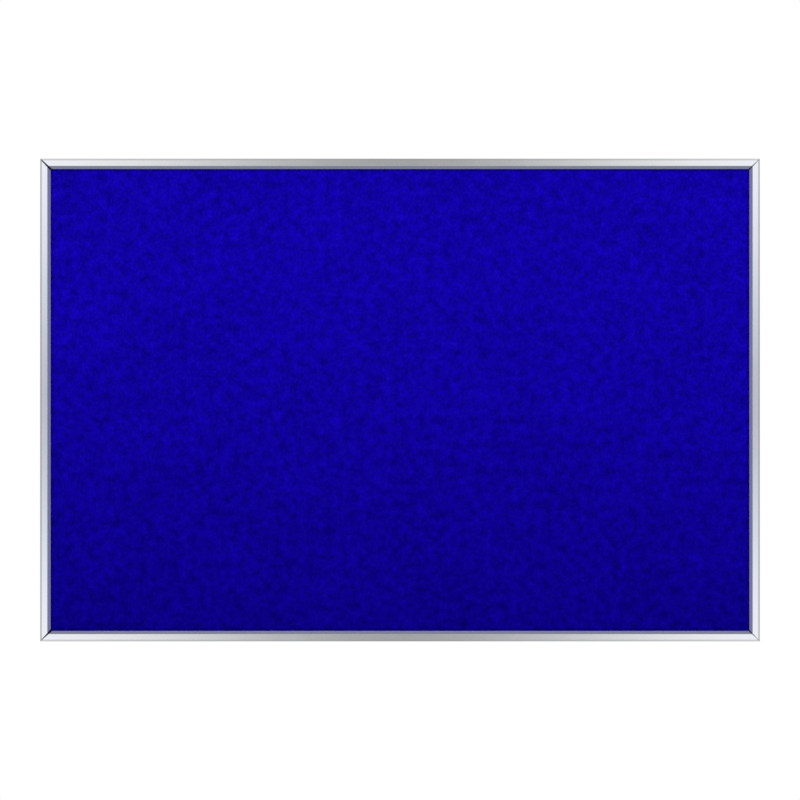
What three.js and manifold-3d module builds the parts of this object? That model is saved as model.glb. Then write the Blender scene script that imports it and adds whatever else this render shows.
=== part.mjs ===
// A wall-hung notice board: a felt-faced pinning panel in a slim frame of extruded aluminium.
// The four rails are mitred and held together at the back by screwed corner plates, which lie
// in the track of the extrusion, and the board hangs on two hangers that slide in the same track.
// Millimetres, +Z up. The front faces -Y. The origin is the middle of the wall plane, which the
// rear rims of the rails touch.

import * as THREE from "three";
import { mergeVertices } from "three/addons/utils/BufferGeometryUtils.js";
import Module from "manifold-3d";

const solids = await Module();
solids.setup();

// Driving dimensions: the pinning panel.
const panelWidth = 900;
const panelHeight = 600;
const feltThickness = 1;
const coreThickness = 9;
const backingThickness = 2.5;
const glueLine = 0.2; // film of adhesive between two layers of the panel
const panelCornerCut = 17; // the corners are cut off square to the mitres, to clear them

// Driving dimensions: the rail's section. Its u runs inwards from the outer face of the frame,
// and its w runs forwards from the wall plane.
const railFace = 13.5; // width of the frame seen from the front, bevel included
const edgeBandReach = 2.4; // narrow facet along the outer front edge
const edgeBandDrop = 0.78;
const bevelReach = 4.2; // width of the bevel that leads down to the felt
const bevelDrop = 4.2;
const railWall = 1.3; // outer wall and front wall
const footWidth = 1.4; // flat under the lip, which holds the felt down
const noseHeight = 1.2; // of the lip's edge above its foot, before it is rounded
const ribReach = 3.9; // rib inside the outer wall that the panel's edge stands against
const ribThickness = 1.2;
const rimDepth = 1.6; // the outer wall stands this far behind the track
const rimWidth = 2.2;
const trackWall = 1.2; // inner wall of the track
const trackDepth = 2.4;
const trackLip = 1; // thickness of the two lips that close the track
const slotWidth = 5.6; // mouth of the track, between its lips
const webThickness = 1.1; // floor of the track, which the back of the panel lies on

// Driving dimensions: fits and edges.
const panelClearance = 0.2; // round the panel in its rebate, and between felt and lip
const panelSideClearance = 0.3;
const trackClearance = 0.3; // between the track and what slides in it
const threadClearance = 0.15;
const screwTipClearance = 0.2; // between a set screw's tip and the web
const frontRound = 0.6; // outer front edge of the rail
const noseRound = 2.4; // the bevel runs down to the felt in this round
const edgeRound = 0.4; // small rounds of the extrusion die
const overrun = 5; // how far a cutter passes the surface that it cuts

// How far short of the mitre's plane both of its rails are cut. The mitre is closed at the rear
// and at the outer corner. The saw leaned a little and ran a little off 45 degrees, so the
// front wall opens: by a trim where the edge band ends, and inwards from there by a share of
// the way. The lips are cut back by a further share of the way from the start of the bevel.
const rearTrim = 0.2;
const tipTrim = 0.25;
const topLeftTrim = 1;
const topRightTrim = 0.42;
const bottomLeftTrim = 0.65;
const bottomRightTrim = 0.3;
const topLeftOpenShare = 0.09;
const bottomLeftOpenShare = 0.12;
const rightOpenShare = 0.06;
const leftLipShare = 0.4;
const rightLipShare = 0.25;

// Steps of the round stretches.
const roundSteps = 3;
const cutSteps = 12;
const screwSides = 24;
const hexSides = 6;

// Levels forwards of the wall plane, worked out from the rear to the front.
const trackRear = rimDepth + trackLip;
const webRear = trackRear + trackDepth;
const webFront = webRear + webThickness;
const backingRear = webFront + panelClearance;
const coreRear = backingRear + backingThickness + glueLine;
const feltRear = coreRear + coreThickness + glueLine;
const footLevel = feltRear + feltThickness + panelClearance;
const railDepth = footLevel + noseHeight + bevelDrop;
const ribRear = coreRear + (coreThickness - ribThickness) / 2;
const ribFront = ribRear + ribThickness;

// Places inwards from the outer face.
const panelInset = railWall + ribReach + panelSideClearance;
const trackInner = railFace - trackWall;
const lipReach = (trackInner - railWall - slotWidth) / 2;
const slotCentre = railWall + lipReach + slotWidth / 2;
const boardWidth = panelWidth + 2 * panelInset;
const boardHeight = panelHeight + 2 * panelInset;

// Materials.
function metal(color, roughness) {
  return new THREE.MeshStandardMaterial({ color, roughness, metalness: 1 });
}
function matt(color) {
  return new THREE.MeshStandardMaterial({ color, roughness: 0.9, metalness: 0 });
}
const anodisedAluminium = metal(0xd9dbde, 0.35);
const zincPlate = metal(0xb9bcc0, 0.4);
const blackenedSteel = metal(0x2b2c2e, 0.5);
const blueFelt = matt(0x1002a0);
const softboard = matt(0xb79c74);
const hardboard = matt(0x6b4527);

// An outline from corners [x, y, radius]: a corner with a radius is rounded by an arc.
function roundedOutline(corners) {
  const outline = new THREE.Shape();
  corners.forEach(([x, y, radius], i) => {
    const corner = new THREE.Vector2(x, y);
    if (!radius) {
      if (i) outline.lineTo(x, y);
      else outline.moveTo(x, y);
      return;
    }
    const previous = corners[(i + corners.length - 1) % corners.length];
    const next = corners[(i + 1) % corners.length];
    const back = new THREE.Vector2(previous[0], previous[1]).sub(corner).normalize();
    const ahead = new THREE.Vector2(next[0], next[1]).sub(corner).normalize();
    const half = Math.acos(THREE.MathUtils.clamp(back.dot(ahead), -1, 1)) / 2;
    const centre = back.clone().add(ahead).normalize().multiplyScalar(radius / Math.sin(half)).add(corner);
    const tangent = radius / Math.tan(half);
    const start = back.multiplyScalar(tangent).add(corner);
    const end = ahead.multiplyScalar(tangent).add(corner);
    const startAngle = Math.atan2(start.y - centre.y, start.x - centre.x);
    const endAngle = Math.atan2(end.y - centre.y, end.x - centre.x);
    const clockwise = new THREE.Vector2().subVectors(corner, start).cross(end.clone().sub(corner)) < 0;
    if (i) outline.lineTo(start.x, start.y);
    else outline.moveTo(start.x, start.y);
    outline.absarc(centre.x, centre.y, radius, startAngle, endAngle, clockwise);
  });
  outline.closePath();
  return outline;
}

// A mesh geometry as a solid that can be cut and joined, and back again.
function toSolid(geometry) {
  const bare = geometry.index ? geometry.toNonIndexed() : geometry.clone();
  for (const name of Object.keys(bare.attributes)) {
    if (name !== "position") bare.deleteAttribute(name);
  }
  const merged = mergeVertices(bare);
  const vertProperties = merged.attributes.position.array;
  const triVerts = new Uint32Array(merged.index.array);
  return new solids.Manifold(new solids.Mesh({ numProp: 3, vertProperties, triVerts }));
}
function toGeometry(solid) {
  const { vertProperties, triVerts, numProp } = solid.getMesh();
  const count = vertProperties.length / numProp;
  const position = new Float32Array(count * 3);
  for (let i = 0; i < count; i++) {
    position.set(vertProperties.subarray(i * numProp, i * numProp + 3), i * 3);
  }
  const geometry = new THREE.BufferGeometry();
  geometry.setAttribute("position", new THREE.BufferAttribute(position, 3));
  geometry.setIndex(new THREE.BufferAttribute(new Uint32Array(triVerts), 1));
  geometry.computeVertexNormals();
  return geometry;
}
function cut(body, ...cutters) {
  return toGeometry(cutters.reduce((rest, cutter) => rest.subtract(toSolid(cutter)), toSolid(body)));
}

// An outline drawn in the board's plane, x and z, standing forwards from the level rear.
function standForwards(outline, rear, thickness, curveSegments) {
  const geometry = new THREE.ExtrudeGeometry(outline, { depth: thickness, bevelEnabled: false, curveSegments });
  geometry.translate(0, 0, rear);
  return geometry.rotateX(Math.PI / 2);
}

// A section drawn in u and w, drawn out along x to both sides of the middle.
// The outer face lies at z = 0, with the section below it.
const sectionToBoard = new THREE.Matrix4().makeBasis(
  new THREE.Vector3(0, 0, -1),
  new THREE.Vector3(0, -1, 0),
  new THREE.Vector3(-1, 0, 0),
);
function drawAlong(section, length, curveSegments) {
  const geometry = new THREE.ExtrudeGeometry(section, { depth: length, bevelEnabled: false, curveSegments });
  geometry.translate(0, 0, -length / 2);
  return geometry.applyMatrix4(sectionToBoard);
}

function meshOf(name, geometry, material) {
  const mesh = new THREE.Mesh(geometry, material);
  mesh.name = name;
  return mesh;
}

// The extrusion: outer wall with its rear rim, track with two lips, web, locating rib,
// front wall and the bevelled lip that holds the felt.
function railSection() {
  const slotOuter = railWall + lipReach;
  const slotInner = slotOuter + slotWidth;
  const frontInside = railDepth - railWall;
  const bevelRun = bevelReach / bevelDrop;
  const lipBend = railFace - footWidth - (frontInside - footLevel) * bevelRun;
  return roundedOutline([
    [0, 0, edgeRound],
    [rimWidth, 0, edgeRound],
    [rimWidth, rimDepth, 0],
    [slotOuter, rimDepth, 0],
    [slotOuter, trackRear, 0],
    [railWall, trackRear, 0],
    [railWall, webRear, 0],
    [trackInner, webRear, 0],
    [trackInner, trackRear, 0],
    [slotInner, trackRear, 0],
    [slotInner, rimDepth, 0],
    [railFace, rimDepth, edgeRound],
    [railFace, webFront, 0],
    [railWall, webFront, 0],
    [railWall, ribRear, 0],
    [railWall + ribReach, ribRear, edgeRound],
    [railWall + ribReach, ribFront, edgeRound],
    [railWall, ribFront, 0],
    [railWall, frontInside, edgeRound],
    [lipBend, frontInside, edgeRound],
    [railFace - footWidth, footLevel, 0],
    [railFace, footLevel, 0],
    [railFace, footLevel + noseHeight, noseRound],
    [railFace - bevelReach, railDepth, edgeRound],
    [edgeBandReach, railDepth, 0],
    [0, railDepth - edgeBandDrop, frontRound],
  ]);
}

// How far a point of the section is cut short of the mitre's plane.
function mitreGap({ trim, openShare, lipShare }, inwards, forwards) {
  const pastBand = Math.max(0, inwards - edgeBandReach);
  const pastBevel = Math.max(0, inwards - (railFace - bevelReach));
  const inBand = Math.min(1, inwards / edgeBandReach);
  const frontTrim = THREE.MathUtils.lerp(tipTrim, trim, inBand) + pastBand * openShare + pastBevel * lipShare;
  const opened = Math.max(0, forwards - ribFront) / (railDepth - ribFront);
  return THREE.MathUtils.lerp(rearTrim, frontTrim, opened);
}

// A rail with its two ends cut to the mitre: a point of the section lies further from the
// end the further inwards it is.
function railGeometry(length, start, end) {
  const geometry = drawAlong(railSection(), length, roundSteps);
  const { position } = geometry.attributes;
  for (let i = 0; i < position.count; i++) {
    const inwards = -position.getZ(i);
    const forwards = -position.getY(i);
    const side = Math.sign(position.getX(i));
    const gap = mitreGap(side < 0 ? start : end, inwards, forwards);
    position.setX(i, side * (length / 2 - inwards - gap));
  }
  geometry.computeVertexNormals();
  return geometry;
}

function rail(name, length, start, end, place, turn) {
  const mesh = meshOf(name, railGeometry(length, start, end), anodisedAluminium);
  mesh.position.copy(place);
  mesh.rotation.y = turn;
  return mesh;
}

function frameRails() {
  const topLeft = { trim: topLeftTrim, openShare: topLeftOpenShare, lipShare: leftLipShare };
  const topRight = { trim: topRightTrim, openShare: rightOpenShare, lipShare: rightLipShare };
  const bottomLeft = { trim: bottomLeftTrim, openShare: bottomLeftOpenShare, lipShare: leftLipShare };
  const bottomRight = { trim: bottomRightTrim, openShare: rightOpenShare, lipShare: rightLipShare };
  const top = new THREE.Vector3(0, 0, boardHeight / 2);
  const bottom = new THREE.Vector3(0, 0, -boardHeight / 2);
  const left = new THREE.Vector3(-boardWidth / 2, 0, 0);
  const right = new THREE.Vector3(boardWidth / 2, 0, 0);
  return [
    rail("rail_top", boardWidth, topLeft, topRight, top, 0),
    rail("rail_bottom", boardWidth, bottomRight, bottomLeft, bottom, Math.PI),
    rail("rail_left", boardHeight, bottomLeft, topLeft, left, -Math.PI / 2),
    rail("rail_right", boardHeight, topRight, bottomRight, right, Math.PI / 2),
  ];
}

// The panel: three sheets of one outline, glued to each other.
function panelOutline() {
  const side = panelWidth / 2;
  const end = panelHeight / 2;
  return roundedOutline([
    [side - panelCornerCut, -end, 0],
    [side, panelCornerCut - end, 0],
    [side, end - panelCornerCut, 0],
    [side - panelCornerCut, end, 0],
    [panelCornerCut - side, end, 0],
    [-side, end - panelCornerCut, 0],
    [-side, panelCornerCut - end, 0],
    [panelCornerCut - side, -end, 0],
  ]);
}

function panelSheet(name, rear, thickness, material) {
  return meshOf(name, standForwards(panelOutline(), rear, thickness, roundSteps), material);
}

function pinningPanel() {
  return [
    panelSheet("hardboard_back", backingRear, backingThickness, hardboard),
    panelSheet("softboard_core", coreRear, coreThickness, softboard),
    panelSheet("felt_facing", feltRear, feltThickness, blueFelt),
  ];
}

// A set screw with a hexagon socket. Its rear end is at y = 0 and its tip points forwards.
const socketShare = 0.5; // socket across its corners, of the screw's diameter
const socketDepthShare = 0.45;
const chamferShare = 0.3; // of the screw's radius
function setScrew(name, radius, length) {
  const chamfer = radius * chamferShare;
  const profile = [
    [0, -length],
    [radius - 2 * chamfer, -length],
    [radius, -length + 2 * chamfer],
    [radius, -chamfer],
    [radius - chamfer, 0],
    [0, 0],
  ].map(([r, y]) => new THREE.Vector2(r, y));
  const socketDepth = length * socketDepthShare;
  const socket = new THREE.CylinderGeometry(
    radius * socketShare,
    radius * socketShare,
    socketDepth + overrun,
    hexSides,
  );
  socket.translate(0, (socketDepth + overrun) / 2 - socketDepth, 0);
  return meshOf(name, cut(new THREE.LatheGeometry(profile, screwSides), socket), blackenedSteel);
}

// A hole for a set screw, right through whatever lies at its place.
function screwHole(radius, x, z) {
  const size = radius + threadClearance;
  const hole = new THREE.CylinderGeometry(size, size, 2 * (railDepth + overrun), screwSides);
  return hole.translate(x, 0, z);
}

// The corner plate: an L of steel in the tracks of two rails, clamped behind their lips by two
// set screws that press on the webs. Drawn for the corner at the left and below.
const plateLeg = 45; // from the outer corner of the frame to the end of a leg
const plateThickness = 1.8;
const plateRound = 2; // at the ends of the legs
const plateTipRound = 0.5; // at the corner of the frame
const plateScrewPlace = 30; // from the outer corner of the frame along each leg
const plateScrewRadius = 2;
const plateScrewLength = 3.4;
function cornerPlate(name) {
  const near = railWall + trackClearance;
  const far = trackInner - trackClearance;
  const outline = roundedOutline([
    [near, near, plateTipRound],
    [plateLeg, near, plateRound],
    [plateLeg, far, plateRound],
    [far, far, 0],
    [far, plateLeg, plateRound],
    [near, plateLeg, plateRound],
  ]);
  const plate = standForwards(outline, trackRear + trackClearance, plateThickness, roundSteps);
  const holes = [
    screwHole(plateScrewRadius, plateScrewPlace, slotCentre),
    screwHole(plateScrewRadius, slotCentre, plateScrewPlace),
  ];
  return meshOf(name, cut(plate, ...holes), zincPlate);
}

function cornerJoint(name, sideX, sideZ, turn) {
  const corner = new THREE.Group();
  corner.add(cornerPlate("corner_plate_" + name));
  const places = [
    [plateScrewPlace, slotCentre],
    [slotCentre, plateScrewPlace],
  ];
  places.forEach(([x, z], i) => {
    const screw = setScrew("corner_screw_" + name + "_" + (i + 1), plateScrewRadius, plateScrewLength);
    screw.position.set(x, plateScrewLength - webRear + screwTipClearance, z);
    corner.add(screw);
  });
  corner.position.set((sideX * boardWidth) / 2, 0, (sideZ * boardHeight) / 2);
  corner.rotation.y = turn;
  return corner;
}

function cornerJoints() {
  return [
    cornerJoint("bottom_left", -1, -1, 0),
    cornerJoint("bottom_right", 1, -1, -Math.PI / 2),
    cornerJoint("top_right", 1, 1, Math.PI),
    cornerJoint("top_left", -1, 1, Math.PI / 2),
  ];
}

// The hanger: a T of sheet steel. Its bar lies in the track behind both lips, its stem is set
// back through the slot and reaches down behind the panel, where a keyhole takes a wall screw.
const hangerSteel = 1;
const hangerBar = 34; // length of the bar along the track
const hangerStem = 18;
const hangerReach = 37; // end of the stem, from the top of the frame
const hangerEndRound = 5;
const hangerBendRadius = 0.3;
const hangerSlit = 0.8; // sawcut between the bar's ears and the bend of the stem
const tabSetback = 0.3; // the stem lies this far in front of the wall plane
const keyholeRadius = 4.75; // lets the head of a wall screw through
const keyholeSlot = 4.8;
const keyholePlace = hangerReach - 2 * keyholeRadius; // middle of the round hole
const keyholeRise = 9.5; // from there up to the end of the slot
const hangerScrewRadius = 1.5;
const hangerScrewLength = 3.2;
const hangerPlaceShare = 1 / 3; // of the panel's width, from the middle to each hanger

const barRear = trackRear + trackClearance;
const barFront = barRear + hangerSteel;
const tabFront = tabSetback + hangerSteel;
const barNear = railWall + trackClearance;
const barFar = trackInner - trackClearance;
const riserFar = railWall + lipReach + slotWidth - trackClearance;
const riserNear = riserFar - hangerSteel;
const hangerScrewPlace = (railWall + lipReach + riserNear) / 2;

// The stem seen from the side: flat in the track, up through the slot, flat behind the panel.
function stemSection() {
  const outerBend = hangerBendRadius + hangerSteel;
  return roundedOutline([
    [barNear, barRear, 0],
    [riserNear, barRear, hangerBendRadius],
    [riserNear, tabSetback, outerBend],
    [hangerReach, tabSetback, 0],
    [hangerReach, tabFront, 0],
    [riserFar, tabFront, hangerBendRadius],
    [riserFar, barFront, outerBend],
    [barNear, barFront, 0],
  ]);
}

function keyholeOutline() {
  const half = keyholeSlot / 2;
  const mouth = Math.asin(half / keyholeRadius);
  const outline = new THREE.Shape();
  outline.absarc(0, -keyholePlace, keyholeRadius, Math.PI / 2 - mouth, Math.PI / 2 + mouth, true);
  outline.absarc(0, keyholeRise - keyholePlace, half, Math.PI, 0, true);
  outline.closePath();
  return outline;
}

function hangerSolid() {
  const barSection = roundedOutline([
    [barNear, barRear, 0],
    [barFar, barRear, 0],
    [barFar, barFront, 0],
    [barNear, barFront, 0],
  ]);
  const bendStart = riserNear - hangerBendRadius;
  const notchWidth = hangerStem + 2 * hangerSlit;
  const notchDepth = barFar - bendStart + overrun;
  const notch = new THREE.BoxGeometry(notchWidth, 2 * railDepth, notchDepth);
  notch.translate(0, 0, -bendStart - notchDepth / 2);
  const ears = toSolid(drawAlong(barSection, hangerBar, roundSteps)).subtract(toSolid(notch));
  const stem = toSolid(drawAlong(stemSection(), hangerStem, roundSteps));
  const side = hangerStem / 2;
  const wide = hangerBar / 2 + overrun;
  const endTrim = roundedOutline([
    [-wide, overrun, 0],
    [-wide, -barFar - hangerSlit, 0],
    [-side, -barFar - hangerSlit, 0],
    [-side, -hangerReach, hangerEndRound],
    [side, -hangerReach, hangerEndRound],
    [side, -barFar - hangerSlit, 0],
    [wide, -barFar - hangerSlit, 0],
    [wide, overrun, 0],
  ]);
  const keyhole = standForwards(keyholeOutline(), -overrun, railDepth + overrun, cutSteps);
  return ears
    .add(stem)
    .intersect(toSolid(standForwards(endTrim, -overrun, railDepth + overrun, roundSteps)))
    .subtract(toSolid(keyhole))
    .subtract(toSolid(screwHole(hangerScrewRadius, 0, -hangerScrewPlace)));
}

function hanger(side, name) {
  const group = new THREE.Group();
  group.add(meshOf("hanger_" + name, toGeometry(hangerSolid()), zincPlate));
  const screw = setScrew("hanger_screw_" + name, hangerScrewRadius, hangerScrewLength);
  screw.position.set(0, hangerScrewLength - webRear + screwTipClearance, -hangerScrewPlace);
  group.add(screw);
  group.position.set(side * panelWidth * hangerPlaceShare, 0, boardHeight / 2);
  return group;
}

const noticeBoard = new THREE.Group();
noticeBoard.add(...frameRails(), ...pinningPanel(), ...cornerJoints(), hanger(-1, "left"), hanger(1, "right"));

export default noticeBoard;
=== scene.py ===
# A wall-hung notice board: felt on softboard and hardboard, in a mitred frame of aluminium.
# It is seen straight from the front, and it hangs on two hangers at the back of its top rail.

import math

import bpy
import bmesh
import numpy as np
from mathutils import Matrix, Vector


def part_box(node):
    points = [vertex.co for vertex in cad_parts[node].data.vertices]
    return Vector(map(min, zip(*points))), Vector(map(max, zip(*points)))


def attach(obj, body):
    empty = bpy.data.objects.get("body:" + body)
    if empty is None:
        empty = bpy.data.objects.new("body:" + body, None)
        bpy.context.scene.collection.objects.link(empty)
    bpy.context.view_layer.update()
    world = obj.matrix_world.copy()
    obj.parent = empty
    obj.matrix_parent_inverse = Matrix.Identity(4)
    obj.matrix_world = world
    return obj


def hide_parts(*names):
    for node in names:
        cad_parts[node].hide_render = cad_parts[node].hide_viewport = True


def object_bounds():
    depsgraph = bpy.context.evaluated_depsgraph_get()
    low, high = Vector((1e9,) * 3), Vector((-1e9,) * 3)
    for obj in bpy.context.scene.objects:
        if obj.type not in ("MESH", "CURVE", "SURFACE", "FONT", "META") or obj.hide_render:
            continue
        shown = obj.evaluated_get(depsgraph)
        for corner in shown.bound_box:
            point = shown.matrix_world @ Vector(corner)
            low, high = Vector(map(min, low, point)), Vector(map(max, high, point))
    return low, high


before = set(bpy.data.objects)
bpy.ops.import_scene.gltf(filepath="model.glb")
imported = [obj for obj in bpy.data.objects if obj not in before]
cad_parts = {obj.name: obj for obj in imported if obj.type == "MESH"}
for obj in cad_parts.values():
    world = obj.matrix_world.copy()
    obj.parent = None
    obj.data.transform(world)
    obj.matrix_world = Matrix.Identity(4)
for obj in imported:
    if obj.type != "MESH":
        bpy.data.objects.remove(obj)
cad_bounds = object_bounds()


# Camera
# It stands three metres in front of the board, level with its middle and square to it,
# and the board's width takes up nine tenths of the picture.
camera_distance = 3.0
picture_width = 1.0121
sensor_width = 36

camera_data = bpy.data.cameras.new("camera")
camera_data.sensor_width = sensor_width
camera_data.lens = sensor_width * camera_distance / picture_width
camera = bpy.data.objects.new("camera", camera_data)
camera.location = (0, cad_bounds[0].y - camera_distance, 0)
camera.rotation_euler = (math.radians(90), 0, 0)
bpy.context.scene.collection.objects.link(camera)
bpy.context.scene.camera = camera


# Hardboard back
# A sheet of pressed brown hardboard, glued to the back of the core. Its rear face is the
# screen side, which keeps the weave of the wire mesh that it was pressed on.
class Field:
    """One value of a finish as it varies over a piece. Sums on it add nodes."""

    def __init__(self, tree, socket=None):
        self.tree = tree
        self.socket = socket

    def plug(self, node, sockets):
        """Sets a node's sockets, or links them where the value is a field."""
        for name, value in sockets.items():
            known = [s for s in node.inputs if s.enabled and name in (s.identifier, s.name)]
            if isinstance(value, Field):
                self.tree.links.new(value.socket, known[0])
            else:
                known[0].default_value = value

    def node(self, kind, settings=None, sockets=None, output=None):
        """Adds a node, with its settings first and then its sockets."""
        node = self.tree.nodes.new(kind)
        for name, value in (settings or {}).items():
            setattr(node, name, value)
        self.plug(node, sockets or {})
        found = [s for s in node.outputs if s.enabled and output in (None, s.name)]
        return Field(self.tree, found[0])

    def maths(self, operation, *others):
        """A sum of that kind on this and up to two others."""
        names = ("Value", "Value_001", "Value_002")
        sockets = dict(zip(names, (self, *others)))
        return self.node("ShaderNodeMath", {"operation": operation}, sockets)

    def __add__(self, other):
        return self.maths("ADD", other)

    def __sub__(self, other):
        return self.maths("SUBTRACT", other)

    def __rsub__(self, other):
        return self.maths("MULTIPLY_ADD", -1.0, other)

    def __mul__(self, other):
        return self.maths("MULTIPLY", other)

    __radd__ = __add__
    __rmul__ = __mul__

    def rising(self, low, high):
        """0 up to low, 1 from high on, and smooth between them."""
        limits = {"Value": self, "From Min": low, "From Max": high}
        return self.node("ShaderNodeMapRange", {"interpolation_type": "SMOOTHSTEP"}, limits)

    def mixed(self, first, second):
        """The first colour where this is 0, and the second where it is 1."""
        sockets = {"Factor": self, "A": first, "B": second}
        return self.node("ShaderNodeMix", {"data_type": "RGBA"}, sockets)

    def along(self, axis):
        """One coordinate of a vector."""
        return self.node("ShaderNodeSeparateXYZ", None, {"Vector": self}, axis)

    def times(self, factors):
        """A vector or colour, multiplied part by part."""
        sockets = {"Vector": self, "Vector_001": factors}
        return self.node("ShaderNodeVectorMath", {"operation": "MULTIPLY"}, sockets)

    def turned(self, degrees):
        """A place, turned in the board's plane."""
        sockets = {"Vector": self, "Angle": math.radians(degrees)}
        return self.node("ShaderNodeVectorRotate", {"rotation_type": "Y_AXIS"}, sockets)

    def clouds(self, size, detail=2.0, roughness=0.5):
        """Noise round 0.5 whose largest forms are about that size, in metres."""
        sockets = {"Vector": self, "Scale": 1 / size, "Detail": detail, "Roughness": roughness}
        return self.node("ShaderNodeTexNoise", None, sockets, "Fac")

    def bump(self, depth):
        """A normal for this height, which is worth that depth in metres at 1."""
        return self.node("ShaderNodeBump", None, {"Height": self, "Distance": depth})


def new_finish(name):
    """An empty material, and where a point of the piece lies, in metres."""
    material = bpy.data.materials.new(name)
    material.use_nodes = True
    place = Field(material.node_tree).node("ShaderNodeTexCoord", output="Object")
    return material, place


def set_shader(material, **sockets):
    """Sets or links sockets of the material's shader, named with _ for a space."""
    tree = material.node_tree
    named = {name.replace("_", " "): value for name, value in sockets.items()}
    Field(tree).plug(tree.nodes["Principled BSDF"], named)
    return material


def put_finish(nodes, material):
    """Gives these pieces that material."""
    for name in nodes:
        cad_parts[name].material_slots[0].material = material


screen_pitch = 0.0017
screen_depth = 0.00028
hardboard_fibre = 0.0035
hardboard_speck = 0.0009
hardboard_stain = 0.11
hardboard_brown = (0.19, 0.095, 0.045, 1)
hardboard_dark = (0.105, 0.05, 0.022, 1)


def hardboard_finish():
    material, place = new_finish("hardboard")
    turns = 2 * math.pi / screen_pitch
    weave = (place.along("X") * turns).maths("SINE") * (place.along("Z") * turns).maths("SINE")
    fibres = place.times((1, 1, 0.6)).clouds(hardboard_fibre, 5, 0.75)
    specks = place.clouds(hardboard_speck, 3, 0.7)
    stains = place.clouds(hardboard_stain, 3)
    tone = 0.55 * fibres + 0.3 * specks + 0.25 * stains + 0.05 * weave
    height = 0.25 * weave + 0.3 * fibres + 0.35 * specks
    return set_shader(
        material,
        Base_Color=tone.rising(0.35, 0.75).mixed(hardboard_dark, hardboard_brown),
        Roughness=0.62 + 0.2 * fibres,
        Normal=height.bump(screen_depth),
        Specular_IOR_Level=0.35,
    )


put_finish(["hardboard_back"], hardboard_finish())


# Softboard core
# Nine millimetres of soft insulating board, felted from wood fibre. It takes the pins.
# Only its edges can be seen, deep in the open mitres.
softboard_fibre = 0.0022
softboard_layer = 0.0012
softboard_dark = (0.24, 0.165, 0.095, 1)
softboard_pale = (0.5, 0.375, 0.235, 1)


def softboard_finish():
    material, place = new_finish("softboard")
    fibres = place.times((1, 3, 1)).clouds(softboard_fibre, 5, 0.7)
    layers = place.times((0.1, 1, 0.1)).clouds(softboard_layer, 2)
    tone = (0.7 * fibres + 0.3 * layers).rising(0.3, 0.7)
    return set_shader(
        material,
        Base_Color=tone.mixed(softboard_dark, softboard_pale),
        Roughness=0.9,
        Specular_IOR_Level=0.15,
        Normal=fibres.bump(0.0004),
    )


put_finish(["softboard_core"], softboard_finish())


# Felt facing
# One piece of deep blue needled felt, a millimetre thick, stretched over the core and glued.
# The needling leaves it softly uneven, and the lips of the frame hold its edges down.
felt_low, felt_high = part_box("felt_facing")
felt_corner_cut = 0.017
felt_cell = 0.0025  # of the mesh
felt_seed = 20
felt_waves = ((0.0024, 0.00014), (0.006, 0.00006), (0.03, 0.00004))  # blur and depth of each
felt_relief_limit = 0.0005
felt_fullness = 0.0006  # rise of its face clear of the lip
lip_cover = 0.008  # width of the felt that lies under the frame
lip_dip = 0.003  # width over which it rises beside the frame
felt_blue = (0.0048, 0.0007, 0.31)
felt_tuft = 0.0107  # sizes of its marks, from here to the lint
felt_nap = 0.0034
felt_mark = 0.006
felt_cloud = 0.07
felt_fibre = 0.0008
felt_lint = 0.0022
lint_strength = 0.0075  # how much grey the lint adds to the blue
felt_lanes = (12, 57, 103, 148)  # directions of its fibres, in degrees


def felt_relief(columns, rows):
    """Heights over the face: noise that is blurred to the size of the felt's tufts."""
    draw = np.random.default_rng(felt_seed).standard_normal((columns, rows))
    spectrum = np.fft.rfft2(draw)
    wave_x = np.fft.fftfreq(columns, felt_cell)[:, None]
    wave_z = np.fft.rfftfreq(rows, felt_cell)[None, :]
    wave = wave_x**2 + wave_z**2
    heights = np.zeros((columns, rows))
    for blur, depth in felt_waves:
        soft = np.fft.irfft2(spectrum * np.exp(-2 * (math.pi * blur) ** 2 * wave), (columns, rows))
        heights += depth * soft / soft.std()
    return heights


def felt_mesh():
    """The face as a grid of cells, with its rim drawn back to the core and closed there."""
    low, high = felt_low, felt_high
    columns = round((high.x - low.x) / felt_cell) + 1
    rows = round((high.z - low.z) / felt_cell) + 1
    x, z = np.meshgrid(
        np.linspace(low.x, high.x, columns),
        np.linspace(low.z, high.z, rows),
        indexing="ij",
    )
    from_lip = np.minimum(high.x - abs(x), high.z - abs(z)) - lip_cover
    full = 1 - np.exp(-np.clip(from_lip, 0, None) / lip_dip)
    relief = np.clip(felt_relief(columns, rows), -felt_relief_limit, felt_relief_limit)
    y = low.y - full * (felt_fullness + relief)
    front = np.stack([x, y, z], axis=-1).reshape(-1, 3)
    index = np.arange(columns * rows).reshape(columns, rows)
    corners = [index[:-1, :-1], index[1:, :-1], index[1:, 1:], index[:-1, 1:]]
    faces = np.stack(corners, axis=-1).reshape(-1, 4).tolist()
    rim = [*index[:-1, 0], *index[-1, :-1], *index[:0:-1, -1], *index[0, :0:-1]]
    back = front[rim]
    back[:, 1] = high.y
    first = len(front)
    middle = first + len(rim)
    for i, here in enumerate(rim):
        ahead = (i + 1) % len(rim)
        faces.append([int(here), first + i, first + ahead, int(rim[ahead])])
        faces.append([first + ahead, first + i, middle])
    points = np.vstack([front, back, [[0, high.y, 0]]])
    mesh = bpy.data.meshes.new("felt")
    mesh.from_pydata(points.tolist(), [], faces)
    smooth = [len(face) == 4 for face in faces]
    smooth[(columns - 1) * (rows - 1) :] = [False] * (2 * len(rim))
    mesh.polygons.foreach_set("use_smooth", smooth)
    return mesh


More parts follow.
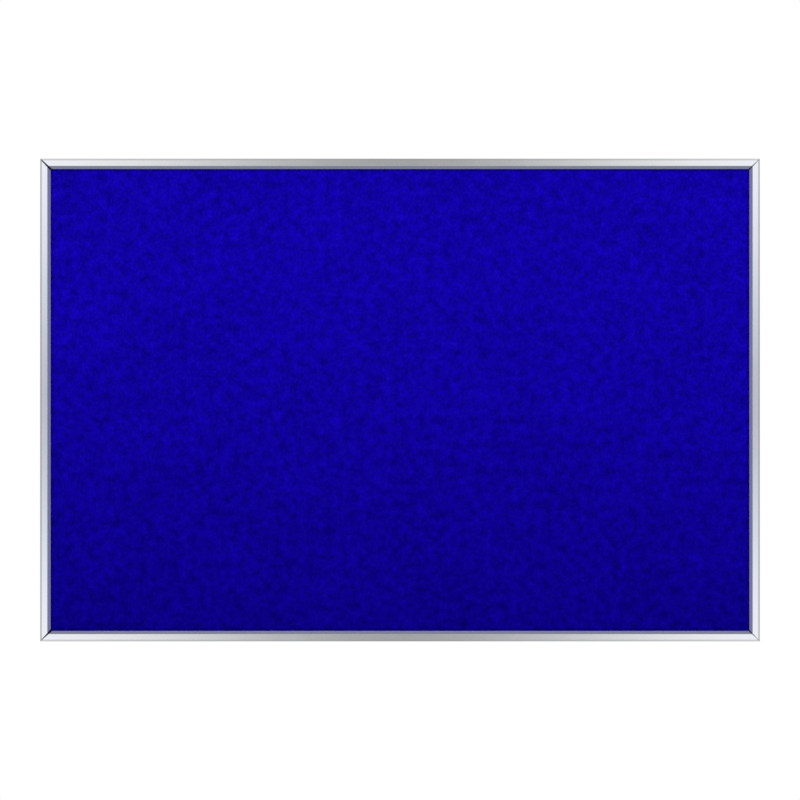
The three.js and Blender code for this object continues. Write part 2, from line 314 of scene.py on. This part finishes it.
def cut_corners(mesh, reach_x, reach_z, cut):
    """Cuts the four corners off, square to the mitres, and closes the mesh again."""
    shape = bmesh.new()
    shape.from_mesh(mesh)
    for side_x in (-1, 1):
        for side_z in (-1, 1):
            bmesh.ops.bisect_plane(
                shape,
                geom=[*shape.verts, *shape.edges, *shape.faces],
                plane_co=(side_x * (reach_x - cut), 0, side_z * reach_z),
                plane_no=(side_x, 0, side_z),
                clear_outer=True,
            )
            rim = [edge for edge in shape.edges if edge.is_boundary]
            bmesh.ops.contextual_create(shape, geom=rim)
    bmesh.ops.recalc_face_normals(shape, faces=shape.faces)
    shape.to_mesh(mesh)
    shape.free()


def felt_finish():
    material, place = new_finish("felt")
    tufts = place.clouds(felt_tuft, 2.5, 0.4)
    nap = place.times((1, 1, 0.3)).clouds(felt_nap, 1)
    lint = lint_strength * (place.times((1, 1, 0.6)).clouds(felt_lint, 1) - 0.5)
    marks = place.times((1, 1, 0.36)).clouds(felt_mark, 1).rising(0.55, 0.8)
    broad = place.clouds(felt_cloud, 2)
    gaps = []
    for degrees in felt_lanes:
        lane = place.turned(degrees).times((0.12, 1, 1)).clouds(felt_fibre, 2, 0.6)
        gaps.append((lane - 0.5).maths("ABSOLUTE").rising(0.0, 0.07))
    bare = math.prod(gaps)
    patches = 1.2 * (tufts - 0.5) + 0.15 * marks + 0.3 * (broad - 0.5)
    shade = 0.98 + patches + 0.2 * (nap - 0.5)
    grain = 1.17 - 0.58 * bare
    # Painted shade: the felt's colour darkens to 65 % within 4 mm of the frame's lips, standing in
    # for the frame's occlusion.
    inside_x = (felt_high.x - lip_cover) - place.along("X").maths("ABSOLUTE")
    inside_z = (felt_high.z - lip_cover) - place.along("Z").maths("ABSOLUTE")
    clear_of_painted_frame_shade = inside_x.maths("MINIMUM", inside_z).rising(0.0, 0.004)
    tone = shade * grain * (0.65 + 0.35 * clear_of_painted_frame_shade)
    parts = [(tone * part + lint).maths("MAXIMUM", 0.0) for part in felt_blue]
    blue = tone.node("ShaderNodeCombineXYZ", None, dict(zip("XYZ", parts)))
    return set_shader(
        material,
        Base_Color=blue,
        Roughness=0.95,
        Specular_IOR_Level=0.0,
        Normal=(tufts - 0.4 * bare).bump(0.00025),
    )


felt = bpy.data.objects.new("felt_cloth", felt_mesh())
cut_corners(felt.data, felt_high.x, felt_high.z, felt_corner_cut)
felt.data.materials.append(felt_finish())
bpy.context.scene.collection.objects.link(felt)
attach(felt, "board")
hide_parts("felt_facing")


# Frame rails
# Four lengths of extruded aluminium, satin anodised, with the fine lines of the die along
# them. Their ends are sawn to a mitre, and the sawcuts aren't anodised, so they are matt.
# Their dark grey is painted shade of the narrow mitre gaps, and the near black inside the
# rebate is painted shade of the frame's hollow.
sharp_turn = 38  # an edge that turns by more is sharp, in degrees
die_turn = 16.5  # the same for the extrusion, whose rounds have finer steps
aluminium_satin = (0.83, 0.84, 0.86, 1)
aluminium_haze = (0.88, 0.885, 0.895, 1)
# Painted shade: the dark grey of the sawn ends stands in for the shade in the narrow mitre gaps.
sawn_painted_shade_grey = (0.17, 0.17, 0.18, 1)
# Painted shade: the near black inside the rebate stands in for the shade deep in the frame.
rebate_painted_shade = (0.05, 0.05, 0.055, 1)
rebate_rear = 0.0054  # levels in front of the wall plane between which the rebate is painted dark as shade
rebate_front = 0.0192
level_edge = 0.0002


def smoothing_group(gentle_turn):
    """Geometry nodes that shade edges smooth up to that turn and keep the sharper ones."""
    tree = bpy.data.node_groups.new("smooth_gentle_edges", "GeometryNodeTree")
    tree.interface.new_socket("Geometry", in_out="INPUT", socket_type="NodeSocketGeometry")
    tree.interface.new_socket("Geometry", in_out="OUTPUT", socket_type="NodeSocketGeometry")
    shape = Field(tree).node("NodeGroupInput")
    turn = Field(tree).node("GeometryNodeInputMeshEdgeAngle")
    gentle = turn.node(
        "FunctionNodeCompare",
        {"data_type": "FLOAT", "operation": "LESS_THAN"},
        {"A": turn, "B": math.radians(gentle_turn)},
    )
    bare = shape.node(
        "GeometryNodeRemoveAttribute", None, {"Geometry": shape, "Name": "custom_normal"}
    )
    faces = bare.node(
        "GeometryNodeSetShadeSmooth",
        {"domain": "FACE"},
        {"Geometry": bare, "Shade Smooth": True},
    )
    edges = faces.node(
        "GeometryNodeSetShadeSmooth",
        {"domain": "EDGE"},
        {"Geometry": faces, "Shade Smooth": gentle},
    )
    edges.plug(tree.nodes.new("NodeGroupOutput"), {"Geometry": edges})
    return tree


smooth_all_rounds = smoothing_group(sharp_turn)
smooth_die_rounds = smoothing_group(die_turn)


def shade_rounds(nodes, smoothing=smooth_all_rounds, eased=0.0):
    """Joins the triangles of each flat face and shades the rounds smooth. Where a width is
    given, the sharp edges are first rounded by it, as deburring does."""
    for name in nodes:
        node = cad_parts[name]
        weld = node.modifiers.new("weld", "WELD")
        weld.merge_threshold = 1e-6
        flat = node.modifiers.new("flat_faces", "DECIMATE")
        flat.decimate_type = "DISSOLVE"
        flat.angle_limit = math.radians(0.5)
        if eased:
            bevel = node.modifiers.new("eased_edges", "BEVEL")
            bevel.width = eased
            bevel.segments = 2
            bevel.limit_method = "ANGLE"
            bevel.angle_limit = math.radians(sharp_turn)
        smooth = node.modifiers.new("smooth", "NODES")
        smooth.node_group = smoothing
        weighted = node.modifiers.new("weighted", "WEIGHTED_NORMAL")
        weighted.keep_sharp = True


def aluminium_finish(name, axis, stretch, turn, across, outer_face):
    """Aluminium whose lines run along one axis. The section's width runs across to it, up to
    the outer face. The sawn ends are matt, and painted dark grey as painted shade of the
    narrow mitre gaps; the inside of the rebate is painted near black as painted shade."""
    material, place = new_finish(name)
    facing = place.node("ShaderNodeTexCoord", output="Normal").along(axis)
    # Painted shade: the sawn ends are made rough, less metallic and dark grey. Their roughness is
    # the real unanodised cut, and their darkness is painted shade of the narrow mitre gaps.
    sawn = facing.maths("ABSOLUTE").rising(0.3, 0.6)
    depth = 0 - place.along("Y")
    inwards = outer_face - place.along(across).maths("ABSOLUTE")
    in_front_of_web = depth.rising(rebate_rear, rebate_rear + level_edge)
    behind_lip = 1 - depth.rising(rebate_front, rebate_front + level_edge)
    # Painted shade: between the web and the lip, the rebate is painted near black and made rough
    # and barely metallic, for the shade deep in the frame.
    rebate = inwards.rising(0.0006, 0.001) * in_front_of_web * behind_lip
    dull_and_painted_shade = sawn.maths("MAXIMUM", rebate)
    lines = place.times(stretch)
    fine = lines.clouds(0.0004, 2, 0.6)
    broad = lines.clouds(0.0016, 2)
    haze = place.clouds(0.03, 3)
    drawn = haze.mixed(aluminium_satin, aluminium_haze)
    cut = sawn.mixed(drawn, sawn_painted_shade_grey)
    return set_shader(
        material,
        Base_Color=rebate.mixed(cut, rebate_painted_shade),
        Metallic=1 - 0.8 * dull_and_painted_shade,
        Roughness=0.075 + 0.05 * fine + 0.02 * haze + 0.5 * dull_and_painted_shade,
        Normal=(fine + broad).bump(0.000003),
        Anisotropic=0.25,
        Anisotropic_Rotation=turn,
    )


line_stretch = 0.006
level_rails = ["rail_top", "rail_bottom"]
upright_rails = ["rail_left", "rail_right"]
level_finish = aluminium_finish(
    "aluminium_level",
    axis="X",
    stretch=(line_stretch, 1, 1),
    turn=0.25,
    across="Z",
    outer_face=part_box("rail_top")[1].z,
)
upright_finish = aluminium_finish(
    "aluminium_upright",
    axis="Z",
    stretch=(1, 1, line_stretch),
    turn=0.0,
    across="X",
    outer_face=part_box("rail_right")[1].x,
)
put_finish(level_rails, level_finish)
put_finish(upright_rails, upright_finish)
shade_rounds(level_rails + upright_rails, smooth_die_rounds)


# Corner plates
# An L of zinc-plated steel in each corner, stamped from sheet. It lies in the tracks of two
# rails behind their lips and holds the mitre shut.
corner_names = ["top_left", "top_right", "bottom_left", "bottom_right"]
plate_easing = 0.00015  # width of the round on its edges
zinc_blue = (0.5, 0.53, 0.57, 1)
zinc_yellow = (0.68, 0.67, 0.62, 1)


def zinc_finish():
    material, place = new_finish("zinc_plate")
    spangle = place.clouds(0.0035, 2, 0.6)
    rolled = place.times((1, 1, 0.05)).clouds(0.0006, 2)
    cloudy = place.clouds(0.012, 3)
    return set_shader(
        material,
        Base_Color=cloudy.rising(0.3, 0.7).mixed(zinc_blue, zinc_yellow),
        Metallic=1.0,
        Roughness=0.26 + 0.16 * spangle + 0.06 * rolled,
        Normal=(spangle + 0.4 * rolled).bump(0.00002),
    )


zinc = zinc_finish()
corner_plates = ["corner_plate_" + name for name in corner_names]
put_finish(corner_plates, zinc)
shade_rounds(corner_plates, eased=plate_easing)


# Corner set screws
# Two blackened steel set screws with a hexagon socket in each plate. They press on the web
# of the rail and so clamp the plate against the lips.
corner_screw_easing = 0.00008
steel_black = (0.035, 0.036, 0.04, 1)
steel_worn = (0.12, 0.115, 0.11, 1)


def screw_finish():
    material, place = new_finish("blackened_steel")
    worn = place.clouds(0.0012, 3, 0.6)
    return set_shader(
        material,
        Base_Color=worn.rising(0.5, 0.75).mixed(steel_black, steel_worn),
        Metallic=1.0,
        Roughness=0.35 + 0.2 * worn,
        Normal=worn.bump(0.00002),
    )


blackened_steel = screw_finish()
corner_screws = [f"corner_screw_{name}_{i}" for name in corner_names for i in (1, 2)]
put_finish(corner_screws, blackened_steel)
shade_rounds(corner_screws, eased=corner_screw_easing)


# Hangers
# A T of zinc-plated sheet steel on each side. Its bar lies in the track of the top rail, and
# its stem is set back through the slot and takes the head of a wall screw in a keyhole.
hanger_easing = 0.0001
hangers = ["hanger_left", "hanger_right"]
put_finish(hangers, zinc)
shade_rounds(hangers, eased=hanger_easing)


# Hanger set screws
# One blackened set screw in each hanger. Tightened, it keeps the hanger from sliding.
hanger_screw_easing = 0.00006
hanger_screws = ["hanger_screw_left", "hanger_screw_right"]
put_finish(hanger_screws, blackened_steel)
shade_rounds(hanger_screws, eased=hanger_screw_easing)


# Studio
# A white floor well below the board, a wide soft lamp above the camera whose light falls off
# towards the bottom of the board, and a weaker one behind for the back.
floor_level = -1.2
floor_reach = 9.0
floor_near = 2.0  # squares of the distances between which the floor fades into the backdrop
floor_far = 14.0
floor_lift = 0.6
floor_pale = (0.5, 0.5, 0.5, 1)
floor_grain = (0.48, 0.48, 0.48, 1)
plain_light = 0.18  # of the world on what doesn't mirror it
camera_tone = 0.36  # of the room just behind the camera, where it is darkest
room_tone = 1.06  # of the brightest part of the room round it


def studio_floor():
    """White for the camera, and pale to the light, with the board's shadow near its middle."""
    mesh = bpy.data.meshes.new("floor")
    signs = ((-1, -1), (1, -1), (1, 1), (-1, 1))
    corners = [(floor_reach * x, floor_reach * y, 0) for x, y in signs]
    mesh.from_pydata(corners, [], [(0, 1, 2, 3)])
    floor = bpy.data.objects.new("floor", mesh)
    floor.location = (0, 0, floor_level)
    material, place = new_finish("floor")
    camera_ray = place.node("ShaderNodeLightPath", output="Is Camera Ray")
    x = place.along("X")
    y = place.along("Y")
    far = (x * x + y * y).rising(floor_near, floor_far)
    grain = place.clouds(0.05, 2).mixed(floor_pale, floor_grain)
    set_shader(
        material,
        Base_Color=far.mixed(grain, (0, 0, 0, 1)),
        Roughness=0.9,
        Specular_IOR_Level=0.0,
        Emission_Color=camera_ray * (floor_lift + (1 - floor_lift) * far),
        Emission_Strength=1.0,
    )
    mesh.materials.append(material)
    bpy.context.scene.collection.objects.link(floor)
    floor.visible_glossy = False


def soft_lamp(name, place, target, size, power, spread):
    """A lamp of that width and height, turned to the target. It shows in nothing."""
    data = bpy.data.lights.new(name, "AREA")
    data.shape = "RECTANGLE"
    data.size, data.size_y = size
    data.energy = power
    data.spread = math.radians(spread)
    lamp = bpy.data.objects.new(name, data)
    lamp.location = place
    lamp.rotation_euler = (Vector(target) - Vector(place)).to_track_quat("-Z", "Y").to_euler()
    lamp.visible_camera = False
    lamp.visible_glossy = False
    bpy.context.scene.collection.objects.link(lamp)


studio_floor()
soft_lamp(
    "key_lamp",
    place=(0, -1.5, 1.2),
    target=(0, 0, 0.1),
    size=(2.4, 0.35),
    power=8.35,
    spread=49,
)
soft_lamp(
    "back_lamp",
    place=(0.4, 1.6, 1.1),
    target=(0, 0, 0),
    size=(1.6, 0.8),
    power=14,
    spread=180,
)


def studio_world():
    """White for the camera, plain grey for diffuse light. Metal mirrors a white room that
    is dark round the camera and dim at a steep angle to the board's face."""
    world = bpy.data.worlds.new("studio")
    world.use_nodes = True
    world.cycles.sampling_method = "NONE"
    tree = world.node_tree
    way = Field(tree).node("ShaderNodeTexCoord", output="Generated")
    x = way.along("X")
    z = way.along("Z")
    forward = 0 - way.along("Y")
    square_x = x * x
    square_z = z * z
    off_middle = x.maths("ABSOLUTE")
    off_level = z.maths("ABSOLUTE")
    lighter = -0.476 + 6.6 * off_middle + 6.48 * off_level
    round_camera = lighter.maths("MAXIMUM", camera_tone).maths("MINIMUM", room_tone)
    in_front = forward.rising(0.77, 0.98)
    beside = forward.rising(0.1, 0.5)
    behind = forward.rising(0.0, 0.07)
    off_axis = ((x * z).maths("ABSOLUTE") * (2.6 + 2.8 * square_z)).maths("MINIMUM", 0.4)
    side = 0.185 + 0.05 * square_z + (0.14 + 0.18 * square_x + off_axis) * beside
    room = side + (round_camera - side) * in_front + (0.45 + 0.15 * z) * (1 - behind)
    camera_ray = way.node("ShaderNodeLightPath", output="Is Camera Ray")
    glossy_ray = way.node("ShaderNodeLightPath", output="Is Glossy Ray")
    plain = 1 - camera_ray - glossy_ray
    light = camera_ray + glossy_ray * room + plain * plain_light
    cool = glossy_ray * in_front * (off_middle - off_level).rising(0.045, 0.055)
    colour = cool.mixed((1, 1, 1, 1), (0.93, 0.965, 1.06, 1))
    blue = glossy_ray * behind * (1 - forward.rising(0.2, 0.45)) * (0.6 + 0.4 * square_x)
    colour = blue.mixed(colour, (0.95, 0.97, 1.65, 1))
    way.plug(tree.nodes["Background"], {"Color": colour, "Strength": light})
    bpy.context.scene.world = world


studio_world()
bpy.context.scene.view_settings.view_transform = "Standard"
